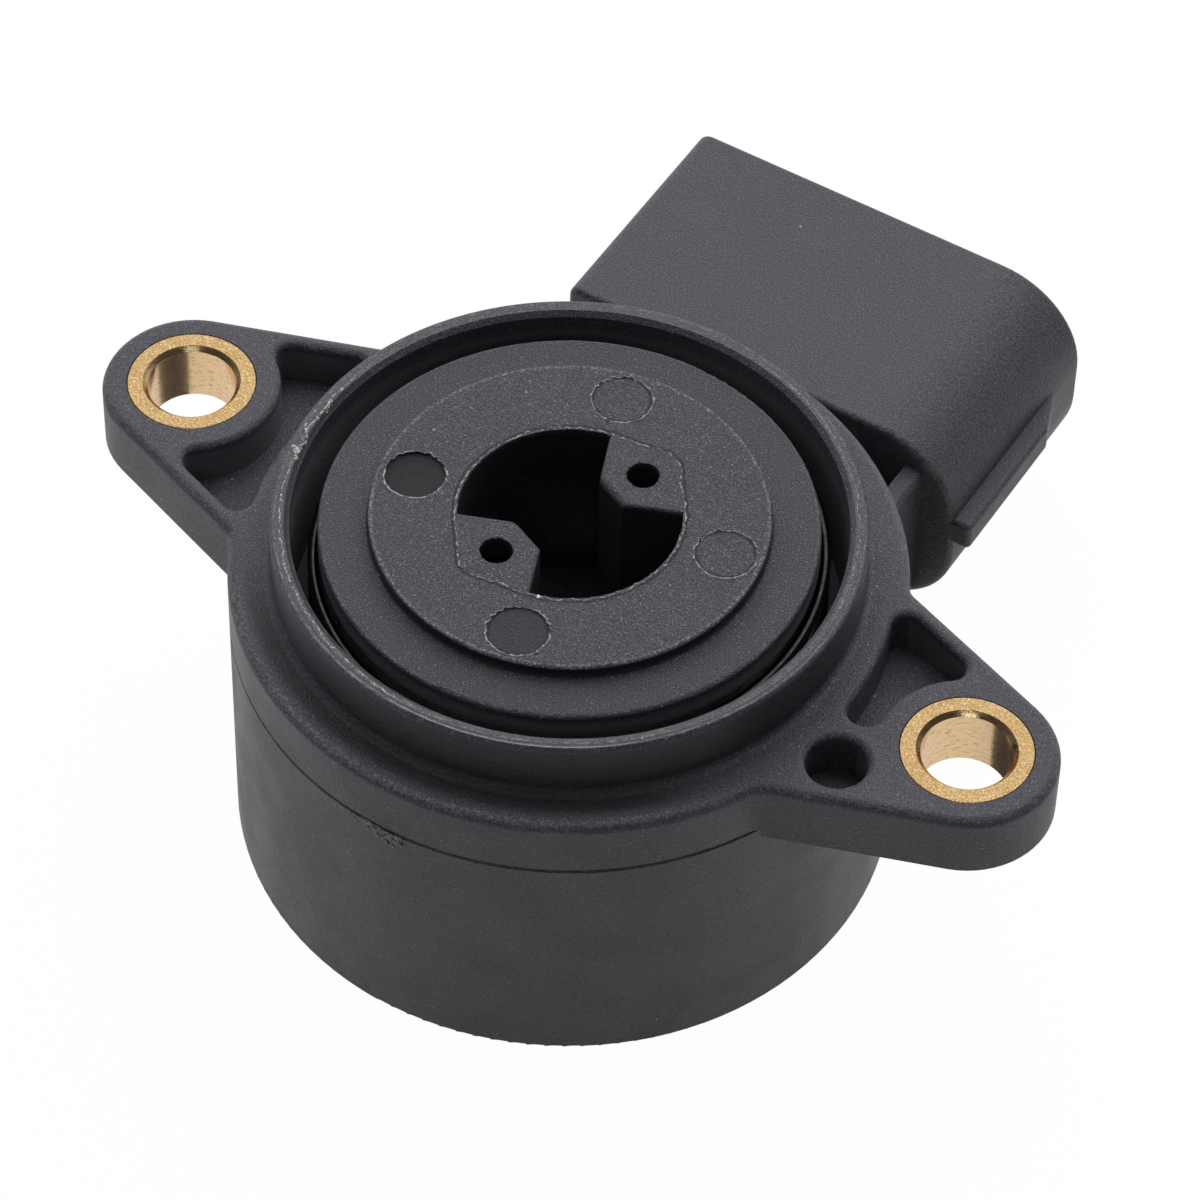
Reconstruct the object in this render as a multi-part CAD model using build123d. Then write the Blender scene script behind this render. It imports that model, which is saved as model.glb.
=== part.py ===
from build123d import *
import os
from math import asin, cos, degrees, hypot, radians, sin, sqrt

# Rotary throttle position sensor, in millimetres.
# The origin is on the rotor's axis at the flat bottom of the can. +Z points to the rotor's side,
# X runs through the two mounting ears and +Y points out of the plug connector's mouth.

# Mounting flange. The screws' spacing of 52 follows from its diameter and the ears' reach.
flange_diameter = 39.0
ear_reach = 6.5
flange_thickness = 3.85
flange_edge_round = 0.55
ear_tip_radius = 5.25
ear_flank_angle = 19.5
ear_root_round = 1.2
ear_root_angle = 30.0
ear_drop = 0.35
ear_foot_gap = 0.25
seam_chamfer = 0.14

# Pockets and blind hole in the ears
pocket_depth = 2.85
pocket_rib = 1.05
pocket_inner_gap = 0.7
pocket_corner_round = 0.9
pocket_edge_round = 0.45
short_pocket_end = -1.5
locating_hole_diameter = 3.5
locating_hole_depth = 3.0
locating_hole_setback = 5.75
locating_hole_offset = 4.55
locating_hole_round = 0.5

# Brass bushes
bush_bore_diameter = 5.2
bush_wall = 1.2
bush_bore_chamfer = 0.28
bush_edge_chamfer = 0.06
bush_clearance = 0.02

# Collar round the rotor
ledge_width = 2.5
collar_wall = 1.1
collar_height = 3.7
collar_rim_round = 0.2
collar_lip_chamfer = 0.3
collar_base_round = 0.5
spigot_depth = 2.05
spigot_clearance = 0.1
web_thickness = 1.5

# Can
can_height = 16.55
can_wall = 1.6
can_floor = 1.8
can_bottom_round = 0.25

# Rotor
rotor_gap = 1.6
ring_drop = 0.45
ring_thickness = 1.45
ring_edge_round = 0.25
ring_shelf = 2.85
ring_overhang = 1.05
plateau_step = 0.85
plateau_edge_round = 0.15
plateau_base_round = 0.3
running_clearance = 0.05
axial_play = 0.3
plateau_land = 5.05
socket_wall = 1.7
socket_floor = 1.4
cup_wall = 1.2
cup_board_gap = 0.3
drum_wall = 1.8
crown_thickness = 2.6

# Drive bosses in the rotor's socket
boss_angle = 66.5
boss_reach = 3.59
boss_face_width = 2.25
boss_flare_angle = 45.0
boss_corner_round = 0.2
boss_lead_round = 0.5
boss_hole_diameter = 1.95
boss_hole_setback = 1.34
boss_hole_depth = 6.0

# Ejector marks on the plateau: angle and depth of each
mark_diameter = 3.62
mark_setback = 2.2
mark_angles = (12.9, 102.8, 194.0, 283.4)
mark_depths = (0.03, 0.03, 0.16, 0.07)

# Return spring
wire_diameter = 0.7
spring_turns = 3.5
spring_seat_gap = 0.08
spring_leg = 2.6
spring_bend = 0.8
spring_start_angle = 250.0
leg_clearance = 0.2

# Wiper carrier
carrier_thickness = 1.6
carrier_lip = 1.1
cup_clearance = 0.05
pivot_diameter = 5.0
pivot_floor_gap = 1.3
shoulder_diameter = 7.2
stop_lug_reach = 2.2
stop_lug_span_angle = 14.0
stop_block_span_angle = 10.0
stop_block_drop = 1.6
stop_gap_angle = 1.5
stop_radial_gap = 0.5
rotor_travel_angle = 110.0
stop_lug_angle = 190.0
stake_diameter = 1.6
stake_boss_diameter = 3.0
stake_head_diameter = 2.5
stake_head_height = 0.35
stake_clearance = 0.05
stake_gap = 0.55
stake_angle = 156.5

# Thrust washer and bearing post
washer_thickness = 0.5
washer_diameter = 8.6
post_diameter = 9.2
post_drop = 1.2
bearing_end_gap = 0.5

# Track board and its printed tracks
wiper_space = 1.8
board_thickness = 1.0
board_edge_gap = 0.4
board_hole_gap = 0.6
board_rib_width = 1.4
board_rib_depth = 2.3
board_rib_count = 5
board_rib_start_angle = 150.0
board_rib_step_angle = 60.0
film_thickness = 0.1
resistor_width = 1.4
collector_width = 1.2
idle_width = 1.0
track_gap = 0.6
idle_arc_angle = 30.0
track_overrun_angle = 8.0

# Wipers
sheet_thickness = 0.25
wiper_plate_length = 3.2
wiper_plate_margin = 0.6
wiper_cup_gap = 0.4
finger_reach = 2.8
finger_width = 0.45
finger_gap = 0.25
finger_tip_rise = 0.4
finger_tip_length = 0.5
contact_gap = 0.05
throttle_wiper_angle = 205.0
idle_wiper_angle = 25.0
wiper_pin_diameter = 1.0
wiper_pin_head = 1.6
wiper_pin_head_height = 0.3
wiper_pin_clearance = 0.05

# Connector shroud
shroud_width = 27.2
shroud_height = 14.1
shroud_length = 16.0
shroud_wall = 1.5
shroud_back_wall = 2.0
shroud_round_corner = 5.7
shroud_small_corner = 0.8
shroud_end_round = 0.4
key_rib_height = 2.0
key_rib_proud = 1.15
key_rib_rise = 8.05
key_rib_length = 9.7
key_rib_ramp = 3.0
key_rib_round = 0.35
latch_width = 6.0
latch_height = 1.1
latch_length = 3.6
latch_flat = 1.1
latch_setback = 4.0

# Neck between the can and the shroud
neck_length = 2.5
neck_width = 22.6
neck_wall = 1.2
neck_bottom_inset = 1.3
neck_top_inset = 2.0
neck_edge_round = 0.4
neck_pocket_depth = 3.4

# Terminals
terminal_count = 4
terminal_pitch = 4.5
terminal_width = 2.3
terminal_thickness = 0.64
terminal_setback = 4.5
terminal_tip_chamfer = 0.5
terminal_clearance = 0.02
terminal_drop = 0.53
tab_width = 1.4
tab_setback = 3.9
tab_rise = 1.1
tab_hole_clearance = 0.2
solder_base_diameter = 2.8
solder_top_diameter = 1.7
solder_height = 0.7

# Working values for the modelling itself
cut_margin = 1.0
same_place = 1e-4

# Sizes that follow from the ones above
can_radius = flange_diameter / 2
cavity_radius = can_radius - can_wall
bush_place = can_radius + ear_reach
ear_bottom = can_height - ear_drop
bush_radius = bush_bore_diameter / 2 + bush_wall
flange_top = can_height + flange_thickness
collar_radius = can_radius - ledge_width
collar_bore_radius = collar_radius - collar_wall
collar_top = flange_top + collar_height
spigot_radius = cavity_radius - spigot_clearance
web_bottom = can_height - spigot_depth
web_top = web_bottom + web_thickness

ring_radius = collar_bore_radius - rotor_gap
journal_radius = ring_radius - ring_overhang
web_bore_radius = journal_radius + running_clearance
ring_top = collar_top - ring_drop
ring_bottom = ring_top - ring_thickness
plateau_radius = ring_radius - ring_shelf
mark_distance = plateau_radius - mark_setback
plateau_top = ring_top + plateau_step
rotor_bottom = web_bottom - axial_play
socket_radius = plateau_radius - plateau_land
boss_face_distance = socket_radius - boss_reach
boss_hole_distance = socket_radius - boss_hole_setback
cup_radius = socket_radius + cup_wall
core_inner = socket_radius + socket_wall
core_outer = journal_radius - drum_wall
core_top = plateau_top - crown_thickness

carrier_radius = journal_radius + carrier_lip
carrier_bottom = rotor_bottom - carrier_thickness
stop_lug_radius = carrier_radius + stop_lug_reach
board_top = carrier_bottom - wiper_space
board_bottom = board_top - board_thickness
cup_bottom = board_top + cup_board_gap
socket_bottom = cup_bottom + socket_floor
board_radius = cavity_radius - board_edge_gap
film_top = board_top + film_thickness
post_top = board_bottom - post_drop
washer_top = post_top + washer_thickness
pivot_radius = pivot_diameter / 2
pivot_bottom = can_floor + pivot_floor_gap
shoulder_radius = shoulder_diameter / 2
stake_distance = cup_radius + stake_gap + stake_head_diameter / 2
bearing_radius = pivot_radius + running_clearance

finger_tip_distance = wiper_plate_length / 2 + finger_reach
finger_half_span = finger_width + finger_gap / 2
idle_finger_distance = cup_radius + wiper_cup_gap + wiper_plate_margin + finger_half_span
idle_radius = hypot(idle_finger_distance, finger_tip_distance)
collector_radius = idle_radius + idle_width / 2 + track_gap + collector_width / 2
resistor_radius = collector_radius + collector_width / 2 + track_gap + resistor_width / 2

terminal_high = board_bottom - terminal_drop
terminal_low = terminal_high - terminal_thickness
tab_distance = cavity_radius - tab_setback
shroud_middle = (terminal_low + terminal_high) / 2
shroud_bottom = shroud_middle - shroud_height / 2
shroud_top = shroud_middle + shroud_height / 2
shroud_start = can_radius + neck_length
shroud_end = shroud_start + shroud_length
socket_back = shroud_start + shroud_back_wall
terminal_tip = shroud_end - terminal_setback
neck_bottom = shroud_bottom + neck_bottom_inset
neck_top = shroud_top - neck_top_inset
tab_top = board_top + tab_rise
first_terminal = -terminal_pitch * (terminal_count - 1) / 2
terminal_places = [first_terminal + terminal_pitch * number for number in range(terminal_count)]

spring_radius = (collar_bore_radius + journal_radius) / 2
spring_low = web_top + wire_diameter / 2 + spring_seat_gap
spring_high = ring_bottom - wire_diameter / 2 - spring_seat_gap
spring_end_angle = spring_start_angle + 360 * spring_turns


def cylinder(radius, low, high, x=0.0, y=0.0):
    """A solid round bar from one height to another."""
    return Pos(x, y, low) * extrude(Circle(radius), high - low)


def block(x_range, y_range, z_range):
    """A rectangular block between the given limits."""
    size_x = x_range[1] - x_range[0]
    size_y = y_range[1] - y_range[0]
    size_z = z_range[1] - z_range[0]
    corner = (Align.MIN, Align.MIN, Align.MIN)
    return Pos(x_range[0], y_range[0], z_range[0]) * Box(size_x, size_y, size_z, align=corner)


def at_angle(angle):
    """A turn about the rotor's axis."""
    return Rot(0, 0, angle)


def section_face(points):
    """A half section in the XZ plane, with its points given as radius and height."""
    outline = [(radius, 0, height) for radius, height in points]
    return make_face(Polyline(*outline, close=True))


def corner_at(section, radius, height):
    """The corner of a half section at a radius and a height."""
    return [v for v in section.vertices() if hypot(v.X - radius, v.Z - height) < same_place]


def sector(inner, outer, middle, angle, low, high):
    """A block with curved inner and outer walls, centred on an angle."""
    half = radians(angle / 2)
    reach = outer / cos(half) + cut_margin
    tip_y = reach * sin(half)
    tip_x = reach * cos(half)
    wedge = make_face(Polyline((0, 0), (tip_x, -tip_y), (tip_x, tip_y), close=True))
    ring = Circle(outer) - Circle(inner)
    return Pos(0, 0, low) * (at_angle(middle) * extrude(ring & wedge, high - low))


def arc_track(radius, width, start, end):
    """A printed arc on top of the board."""
    outline = make_face([
        CenterArc((0, 0), radius - width / 2, start, end - start),
        CenterArc((0, 0), radius + width / 2, start, end - start),
        Line(radial_point(radius - width / 2, start), radial_point(radius + width / 2, start)),
        Line(radial_point(radius - width / 2, end), radial_point(radius + width / 2, end)),
    ])
    return Pos(0, 0, board_top) * extrude(outline, film_thickness)


def radial_point(radius, angle):
    """A point at a radius and an angle in degrees."""
    return (radius * cos(radians(angle)), radius * sin(radians(angle)))


# Mounting flange
def ear_outline(tip_radius):
    """One ear's plan, towards +X: a round tip with straight flanks that widen to the disc."""
    slope = radians(ear_flank_angle)
    tangent_x = bush_place + tip_radius * sin(slope)
    tangent_y = tip_radius * cos(slope)
    root_x = collar_radius * cos(radians(ear_root_angle))
    root_y = tangent_y + (tangent_x - root_x) * sin(slope) / cos(slope)
    flanks = make_face(Polyline(
        (root_x, -root_y),
        (tangent_x, -tangent_y),
        (tangent_x, tangent_y),
        (root_x, root_y),
        close=True,
    ))
    return flanks + Pos(bush_place, 0) * Circle(tip_radius)


def ear_pocket(low_end):
    """The sunk pocket in an ear's top, between its side ribs, the bush's boss and the disc."""
    pocket = ear_outline(ear_tip_radius - pocket_rib)
    pocket -= Pos(bush_place, 0) * Circle(ear_tip_radius)
    pocket -= Circle(can_radius - pocket_inner_gap)
    beyond_bush = Pos(bush_place + can_radius, 0) * Rectangle(2 * can_radius, 2 * can_radius)
    pocket -= beyond_bush
    if low_end is not None:
        below = Rectangle(4 * can_radius, can_radius, align=(Align.CENTER, Align.MAX))
        pocket -= Pos(0, low_end) * below
    pocket = fillet(pocket.vertices(), pocket_corner_round)
    return Pos(0, 0, flange_top - pocket_depth) * extrude(pocket, pocket_depth + cut_margin)


def lies_on_pocket_rim(edge):
    """Whether an edge of the flange lies on its top face, clear of its outline and its collar."""
    middle = edge.position_at(0.5)
    on_top = abs(middle.Z - flange_top) < same_place and edge.bounding_box().size.Z < same_place
    past_disc = hypot(middle.X, middle.Y) > can_radius - pocket_inner_gap - pocket_rib
    inside_ribs = abs(middle.Y) < pocket_half_width(abs(middle.X)) + pocket_rib / 2
    before_tip = abs(middle.X) < bush_place
    return on_top and past_disc and inside_ribs and before_tip


def pocket_half_width(x):
    """Half the width between an ear's side ribs, at a distance from the axis."""
    slope = radians(ear_flank_angle)
    return (ear_tip_radius - pocket_rib) / cos(slope) + (bush_place - x) * sin(slope) / cos(slope)


def make_flange():
    ear = ear_outline(ear_tip_radius)
    plan = Circle(can_radius) + ear + at_angle(180) * ear
    roots = [v for v in plan.vertices() if abs(hypot(v.X, v.Y) - can_radius) < same_place]
    plan = fillet(roots, ear_root_round)
    plate = Pos(0, 0, can_height) * extrude(plan, flange_thickness)
    plate = fillet(plate.faces().sort_by(Axis.Z)[-1].edges(), flange_edge_round)
    plate = chamfer(plate.faces().sort_by(Axis.Z)[0].edges(), seam_chamfer)
    ear_feet = plan - Circle(can_radius + ear_foot_gap)
    plate += Pos(0, 0, ear_bottom) * extrude(ear_feet, ear_drop + seam_chamfer)
    plate -= cylinder(collar_radius, can_height - cut_margin, flange_top + cut_margin)

    hub_radius = (collar_radius + can_radius) / 2
    section = section_face([
        (web_bore_radius, web_bottom),
        (spigot_radius, web_bottom),
        (spigot_radius, can_height),
        (hub_radius, can_height),
        (hub_radius, flange_top),
        (collar_radius, flange_top),
        (collar_radius, collar_top),
        (collar_bore_radius, collar_top),
        (collar_bore_radius, web_top),
        (web_bore_radius, web_top),
    ])
    section = fillet(corner_at(section, collar_radius, flange_top), collar_base_round)
    section = fillet(corner_at(section, collar_radius, collar_top), collar_rim_round)
    section = chamfer(corner_at(section, collar_bore_radius, collar_top), collar_lip_chamfer)
    flange = plate + revolve(section, Axis.Z)

    flange -= ear_pocket(short_pocket_end)
    flange -= at_angle(180) * ear_pocket(None)
    rims = [e for e in flange.edges() if lies_on_pocket_rim(e)]
    flange = fillet(rims, pocket_edge_round)
    for side in (-1, 1):
        flange -= cylinder(bush_radius + bush_clearance, ear_bottom - cut_margin,
                           flange_top + cut_margin, x=side * bush_place)
    hole_x = bush_place - locating_hole_setback
    hole_y = -locating_hole_offset
    hole_radius = locating_hole_diameter / 2
    hole_floor = flange_top - locating_hole_depth
    flange -= cylinder(hole_radius, hole_floor, flange_top + cut_margin, hole_x, hole_y)
    mouth = [e for e in flange.edges().filter_by(GeomType.CIRCLE)
             if abs(e.radius - hole_radius) < same_place and abs(e.center().Z - flange_top) < same_place]
    flange = fillet(mouth, locating_hole_round)

    stop_low = web_bottom - stop_block_drop
    stop_high = web_bottom + web_thickness / 2
    for stop_angle in stop_block_places():
        flange += sector(carrier_radius + stop_radial_gap, spigot_radius - spigot_clearance, stop_angle,
                         stop_block_span_angle, stop_low, stop_high)
    leg_notch = spring_leg_room(spring_radius, spring_radius + spring_leg, -spring_bend)
    flange -= Pos(0, 0, spring_low) * (at_angle(spring_start_angle) * leg_notch)
    return flange


def stop_block_places():
    """Angles of the two stop blocks, outside the stop lug's travel."""
    reach = stop_lug_span_angle / 2 + stop_block_span_angle / 2 + stop_gap_angle
    return (stop_lug_angle - reach, stop_lug_angle + rotor_travel_angle + reach)


# Brass bushes
def make_bush(x):
    bush = cylinder(bush_radius, ear_bottom, flange_top, x)
    bush = chamfer(bush.edges().filter_by(GeomType.CIRCLE), bush_edge_chamfer)
    bore = cylinder(bush_bore_diameter / 2, ear_bottom, flange_top, x)
    for end, way in ((ear_bottom, 1), (flange_top, -1)):
        cone_low = min(end, end + way * bush_bore_chamfer)
        near = bush_bore_diameter / 2 + (bush_bore_chamfer if way > 0 else 0)
        far = bush_bore_diameter / 2 + (bush_bore_chamfer if way < 0 else 0)
        bottom = (Align.CENTER, Align.CENTER, Align.MIN)
        bore += Pos(x, 0, cone_low) * Cone(near, far, bush_bore_chamfer, align=bottom)
    return bush - bore


# Sensor can with the plug connector
def shroud_outline(inset):
    """The connector's outline in the XZ plane: square on the left, well rounded on the right."""
    outline = Rectangle(shroud_width - 2 * inset, shroud_height - 2 * inset)
    left = outline.vertices().group_by(Axis.X)[0]
    outline = fillet(left, shroud_small_corner)
    right = outline.vertices().group_by(Axis.X)[-1]
    return fillet(right, shroud_round_corner - inset)


def shroud_prism(inset, start, end):
    plane = Plane.XZ.offset(-start)
    return extrude(plane * (Pos(0, shroud_middle) * shroud_outline(inset)), -(end - start))


def make_shroud():
    shroud = shroud_prism(0, shroud_start, shroud_end)
    ends = shroud.faces().filter_by(Axis.Y)
    shroud = fillet(ends.edges(), shroud_end_round)
    shroud -= shroud_prism(shroud_wall, socket_back, shroud_end + cut_margin)

    side = shroud_width / 2
    rib_end = shroud_start + key_rib_length
    rib_plan = make_face(Polyline(
        (side - shroud_wall / 2, shroud_start),
        (side + key_rib_proud, shroud_start),
        (side + key_rib_proud, rib_end),
        (side, rib_end + key_rib_ramp),
        (side - shroud_wall / 2, rib_end + key_rib_ramp),
        close=True,
    ))
    rib = extrude(rib_plan, key_rib_height)
    rib = fillet([e for e in rib.edges() if e.center().X > side], key_rib_round)
    shroud += Pos(0, 0, shroud_bottom + key_rib_rise - key_rib_height / 2) * rib

    latch_end = shroud_end - latch_setback
    latch_side = Plane.YZ * make_face(Polyline(
        (latch_end - latch_length, shroud_bottom + shroud_wall / 2),
        (latch_end - latch_length, shroud_bottom - latch_height),
        (latch_end - latch_length + latch_flat, shroud_bottom - latch_height),
        (latch_end, shroud_bottom),
        (latch_end, shroud_bottom + shroud_wall / 2),
        close=True,
    ))
    shroud += Pos(-latch_width / 2, 0, 0) * extrude(latch_side, latch_width)
    return shroud


def make_neck():
    """Side walls and a deck that join the can to the back of the shroud."""
    half = neck_width / 2
    neck = block((-half, half), (0, shroud_start + shroud_back_wall / 2), (neck_bottom, neck_top))
    neck = fillet(neck.edges().filter_by(Axis.Y), neck_edge_round)
    inner = half - neck_wall
    pocket_floor = neck_top - neck_pocket_depth
    pocket = block((-inner, inner), (0, shroud_start), (pocket_floor, neck_top + cut_margin))
    return neck - pocket


def make_can():
    body = cylinder(can_radius, 0, can_height)
    body = fillet(body.faces().sort_by(Axis.Z)[0].edges(), can_bottom_round)
    body = chamfer(body.faces().sort_by(Axis.Z)[-1].edges(), seam_chamfer)
    can = body + make_neck() + make_shroud()
    can -= cylinder(cavity_radius, can_floor, can_height + cut_margin)

    can += cylinder(post_diameter / 2, can_floor / 2, post_top)
    can -= cylinder(bearing_radius, pivot_bottom - bearing_end_gap, post_top + cut_margin)
    half_rib = board_rib_width / 2
    rib = block((cavity_radius - board_rib_depth, cavity_radius + can_wall / 2), (-half_rib, half_rib),
                (can_floor / 2, board_bottom))
    for number in range(board_rib_count):
        can += at_angle(board_rib_start_angle + board_rib_step_angle * number) * rib

    half_width = terminal_width / 2 + terminal_clearance
    for x in terminal_places:
        can -= block((x - half_width, x + half_width), (tab_distance, socket_back + cut_margin),
                     (terminal_low - terminal_clearance, terminal_high + terminal_clearance))
    return can


# Rotor
def drive_boss():
    """One drive boss, towards +X, from its small inner face out to the socket's wall."""
    half = boss_face_width / 2
    run = socket_radius
    spread = run * sin(radians(boss_flare_angle)) / cos(radians(boss_flare_angle))
    plan = make_face(Polyline(
        (boss_face_distance, -half),
        (boss_face_distance + run, -half - spread),
        (boss_face_distance + run, half + spread),
        (boss_face_distance, half),
        close=True,
    ))
    plan &= Circle(socket_radius + socket_wall / 2)
    boss_low = socket_bottom - socket_floor / 2
    boss = Pos(0, 0, boss_low) * extrude(plan, plateau_top - boss_low)
    lead_edge = boss.edges().filter_by(Axis.Y).group_by(Axis.Z)[-1]
    boss = fillet(lead_edge, boss_lead_round)
    corners = boss.edges().filter_by(Axis.Z).group_by(Axis.X)[0]
    boss = fillet(corners, boss_corner_round)
    boss_hole = cylinder(boss_hole_diameter / 2, plateau_top - boss_hole_depth, plateau_top + cut_margin,
                         x=boss_hole_distance)
    return boss - boss_hole


def make_rotor():
    section = section_face([
        (0, pivot_bottom),
        (pivot_radius, pivot_bottom),
        (pivot_radius, washer_top),
        (shoulder_radius, washer_top),
        (shoulder_radius, cup_bottom),
        (cup_radius, cup_bottom),
        (cup_radius, rotor_bottom),
        (journal_radius, rotor_bottom),
        (journal_radius, ring_bottom),
        (ring_radius, ring_bottom),
        (ring_radius, ring_top),
        (plateau_radius, ring_top),
        (plateau_radius, plateau_top),
        (socket_radius, plateau_top),
        (socket_radius, socket_bottom),
        (0, socket_bottom),
    ])
    section = fillet(corner_at(section, ring_radius, ring_top), ring_edge_round)
    section = fillet(corner_at(section, plateau_radius, ring_top), plateau_base_round)
    section = fillet(corner_at(section, plateau_radius, plateau_top), plateau_edge_round)
    rotor = revolve(section, Axis.Z)

    core = cylinder(core_outer, rotor_bottom - cut_margin, core_top)
    core -= cylinder(core_inner, rotor_bottom - cut_margin, core_top)
    rotor -= core

    for turn in (boss_angle, boss_angle + 180):
        rotor += at_angle(turn) * drive_boss()
    for angle, depth in zip(mark_angles, mark_depths):
        mark = cylinder(mark_diameter / 2, plateau_top - depth, plateau_top + cut_margin, x=mark_distance)
        rotor -= at_angle(angle) * mark

    for turn in (stake_angle, stake_angle + 180):
        boss_top = core_top + crown_thickness / 2
        stake = cylinder(stake_boss_diameter / 2, rotor_bottom, boss_top, x=stake_distance)
        stake += cylinder(stake_diameter / 2, carrier_bottom, rotor_bottom, x=stake_distance)
        stake += cylinder(stake_head_diameter / 2, carrier_bottom - stake_head_height, carrier_bottom,
                          x=stake_distance)
        rotor += at_angle(turn) * stake
    leg_slot = spring_leg_room(spring_radius - spring_leg, spring_radius, spring_bend)
    rotor -= Pos(0, 0, spring_high) * (at_angle(spring_end_angle) * leg_slot)
    return rotor


# Return spring
def spring_leg_room(start, end, offset):
    """A round slot along +X that takes one of the spring's legs."""
    bar = extrude(Plane.YZ * Circle(wire_diameter / 2 + leg_clearance), end - start)
    return Pos(start, offset, 0) * bar


def wire_bend(corner, arriving, leaving):
    """The arc of a bend in the wire, between its two directions at a corner."""
    centre = corner + (leaving - arriving) * spring_bend
    middle = centre + (corner - centre).normalized() * spring_bend
    return ThreePointArc(corner - arriving * spring_bend, middle, corner + leaving * spring_bend)


def make_spring():
    """A coil whose lower leg turns out into the flange and whose upper leg turns in to the rotor."""
    rise = spring_high - spring_low
    coil = Helix(pitch=rise / spring_turns, height=rise, radius=spring_radius)
    leg_reach = spring_leg - leg_clearance

    start_way = coil % 0
    outward = (coil @ 0).normalized()
    lower_corner = coil @ 0 - start_way * spring_bend
    lower_leg = Line(lower_corner + outward * leg_reach, lower_corner + outward * spring_bend)
    lower_bend = wire_bend(lower_corner, -outward, start_way)

    end_way = coil % 1
    end_point = coil @ 1
    inward = -Vector(end_point.X, end_point.Y, 0).normalized()
    upper_corner = end_point + end_way * spring_bend
    upper_bend = wire_bend(upper_corner, end_way, inward)
    upper_leg = Line(upper_corner + inward * spring_bend, upper_corner + inward * leg_reach)

    path = Wire([piece.edge() for piece in (lower_leg, lower_bend, coil, upper_bend, upper_leg)])
    wire_end = Plane(origin=path @ 0, z_dir=path % 0) * Circle(wire_diameter / 2)
    spring = sweep(wire_end, path=path)
    return Pos(0, 0, spring_low) * (at_angle(spring_start_angle) * spring)


# Wiper carrier and washer
def make_carrier():
    carrier = cylinder(carrier_radius, carrier_bottom, rotor_bottom)
    carrier -= cylinder(cup_radius + cup_clearance, carrier_bottom - cut_margin, rotor_bottom + cut_margin)
    carrier += sector(carrier_radius - carrier_lip, stop_lug_radius, stop_lug_angle, stop_lug_span_angle,
                      carrier_bottom, rotor_bottom)
    for turn in (stake_angle, stake_angle + 180):
        stake_hole = cylinder(stake_diameter / 2 + stake_clearance, carrier_bottom - cut_margin,
                              rotor_bottom + cut_margin, x=stake_distance)
        carrier -= at_angle(turn) * stake_hole
    for place, radii in wiper_layouts():
        pin_x = wiper_plate_middle(radii)
        pin = cylinder(wiper_pin_diameter / 2, carrier_bottom - sheet_thickness, carrier_bottom, x=pin_x)
        head_top = carrier_bottom - sheet_thickness
        pin += cylinder(wiper_pin_head / 2, head_top - wiper_pin_head_height, head_top, x=pin_x)
        carrier += at_angle(place) * pin
    return carrier


def make_washer():
    washer = cylinder(washer_diameter / 2, post_top, washer_top)
    return washer - cylinder(bearing_radius, post_top, washer_top)


# Wipers
def wiper_layouts():
    """Each wiper's angle at rest, with the radii of the two tracks that it bridges."""
    return (
        (throttle_wiper_angle, (collector_radius, resistor_radius)),
        (idle_wiper_angle, (idle_radius, collector_radius)),
    )


def finger_place(radius):
    """Distance from the axis of a straight finger whose tip touches a track of this radius."""
    return sqrt(radius ** 2 - finger_tip_distance ** 2)


def wiper_plate_middle(radii):
    return (finger_place(radii[0]) + finger_place(radii[1])) / 2


def make_wiper(place, radii):
    """A sheet-metal wiper: a plate with a pair of sprung fingers for each track."""
    inner = finger_place(radii[0]) - finger_half_span - wiper_plate_margin
    outer = finger_place(radii[1]) + finger_half_span + wiper_plate_margin
    half = wiper_plate_length / 2
    wiper = block((inner, outer), (-half, half), (carrier_bottom - sheet_thickness, carrier_bottom))
    wiper -= cylinder(wiper_pin_diameter / 2 + wiper_pin_clearance, carrier_bottom - sheet_thickness,
                      carrier_bottom, x=wiper_plate_middle(radii))
    contact = film_top + contact_gap
    tip = finger_tip_distance
    finger_side = Plane.YZ * make_face(Polyline(
        (half, carrier_bottom - sheet_thickness),
        (tip, contact),
        (tip + finger_tip_length, contact + finger_tip_rise),
        (tip + finger_tip_length, contact + finger_tip_rise + sheet_thickness),
        (tip, contact + sheet_thickness),
        (half, carrier_bottom),
        close=True,
    ))
    finger = extrude(finger_side, finger_width)
    for radius in radii:
        middle = finger_place(radius)
        wiper += Pos(middle - finger_half_span, 0, 0) * finger
        wiper += Pos(middle + finger_gap / 2, 0, 0) * finger
    return at_angle(place) * wiper


# Track board and tracks
def make_board():
    board = cylinder(board_radius, board_bottom, board_top)
    board -= cylinder(shoulder_radius + board_hole_gap, board_bottom - cut_margin, board_top + cut_margin)
    half_width = tab_width / 2 + tab_hole_clearance
    half_depth = terminal_thickness / 2 + tab_hole_clearance
    middle = tab_distance + terminal_thickness / 2
    for x in terminal_places:
        board -= block((x - half_width, x + half_width), (middle - half_depth, middle + half_depth),
                       (board_bottom - cut_margin, board_top + cut_margin))
    return board


def tip_angle(place, radius):
    """Angle at rest at which a wiper's finger touches a track."""
    return place + degrees(asin(finger_tip_distance / radius))


def make_tracks():
    resistor_start = tip_angle(throttle_wiper_angle, resistor_radius) - track_overrun_angle
    resistor_end = resistor_start + rotor_travel_angle + 2 * track_overrun_angle
    idle_start = tip_angle(idle_wiper_angle, idle_radius) - idle_arc_angle / 2
    collector = Circle(collector_radius + collector_width / 2)
    collector -= Circle(collector_radius - collector_width / 2)
    return {
        "resistor_track": arc_track(resistor_radius, resistor_width, resistor_start, resistor_end),
        "collector_track": Pos(0, 0, board_top) * extrude(collector, film_thickness),
        "idle_contact": arc_track(idle_radius, idle_width, idle_start, idle_start + idle_arc_angle),
    }


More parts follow.
